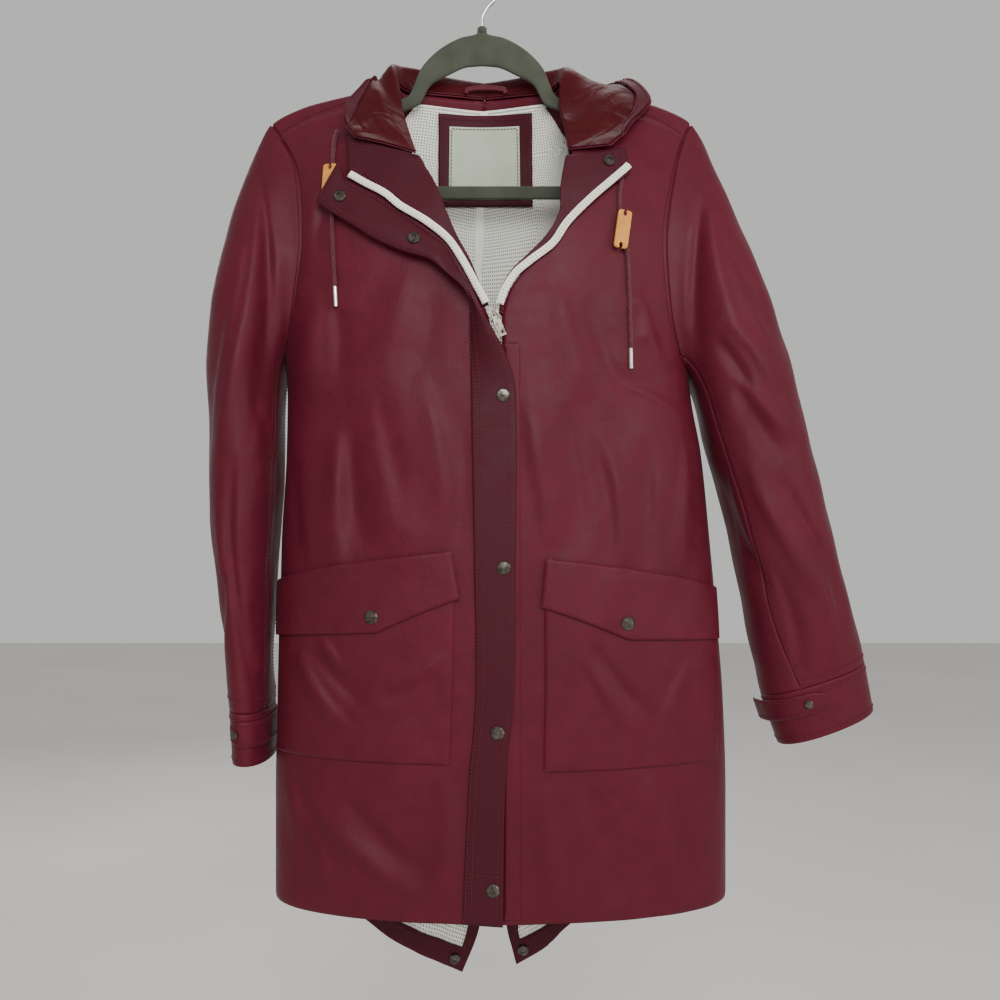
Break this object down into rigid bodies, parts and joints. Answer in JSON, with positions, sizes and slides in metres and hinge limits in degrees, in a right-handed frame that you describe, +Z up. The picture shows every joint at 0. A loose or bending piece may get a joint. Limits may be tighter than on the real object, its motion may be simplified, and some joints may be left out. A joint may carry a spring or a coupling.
{
  "type": "hooded raincoat on a hanger",
  "caption": "Hooded fishtail raincoat with a turned-back placket, flap pockets, sleeves with tabbed cuffs and drawcords, hanging on a slim hanger.",
  "frame": {"origin": "inside top of the hanger's hook, where it rests on its rod", "axes": "+Z up, the front of the coat faces -Y, +X is the wearer's left"},
  "size_m": [0.672, 0.1893, 1.0517],
  "materials": {
    "shell": "satin coated cloth",
    "facing": "satin coated cloth",
    "hood_lining": "satin",
    "mesh": "mesh",
    "zip": "moulded",
    "slider": "dark plated",
    "snap": "dark antique plated",
    "hanger": "flocked",
    "hook": "polished",
    "cord": "braided",
    "toggle": "matt",
    "tip": "satin",
    "label": "woven"
  },
  "bodies": {
    "coat": {"front_right": "shell", "back_right": "shell", "front_left": "shell", "back_left": "shell", "sleeve_upper_right": "shell", "sleeve_under_right": "shell", "cuff_right": "shell", "sleeve_upper_left": "shell", "sleeve_under_left": "shell", "cuff_left": "shell", "cuff_tab_right": "shell", "cuff_tab_left": "shell", "pocket_right": "shell", "pocket_left": "shell", "flap_right": "shell", "flap_left": "shell", "placket": "shell", "underlap": "shell", "hood_right": "shell", "hood_left": "shell", "hanger_loop": "shell", "facing_right": "facing", "facing_left": "facing", "hood_facing_right": "facing", "hood_facing_left": "facing", "tail_facing_right": "facing", "tail_facing_left": "facing", "label_patch": "facing", "hood_lining_right": "hood_lining", "hood_lining_left": "hood_lining", "back_lining_right": "mesh", "back_lining_left": "mesh", "zip_chain_right": "zip", "zip_chain_left": "zip", "zip_chain_closed": "zip", "zip_slider": "slider", "snap_placket_1": "snap", "snap_placket_2": "snap", "snap_placket_3": "snap", "snap_placket_4": "snap", "snap_lapel_1": "snap", "snap_lapel_2": "snap", "snap_collar": "snap", "snap_flap_right": "snap", "snap_flap_left": "snap", "snap_cuff_right": "snap", "snap_cuff_left": "snap", "snap_tail_right": "snap", "snap_tail_left": "snap", "hanger_body": "hanger", "hanger_hook": "hook", "drawcord_right": "cord", "drawcord_left": "cord", "toggle_right": "toggle", "toggle_left": "toggle", "cord_tip_right": "tip", "cord_tip_left": "tip", "label": "label"},
    "zip_pull": {"zip_pull_tab": "slider"}
  },
  "joints": [
    {"name": "zip_pull_hinge", "type": "hinge", "parent": "coat", "child": "zip_pull", "pos_m": [0.01201, -0.07712, -0.36423], "axis": [-0.9271, -0.0138, -0.3746], "range_deg": [0, 150]}
  ]
}
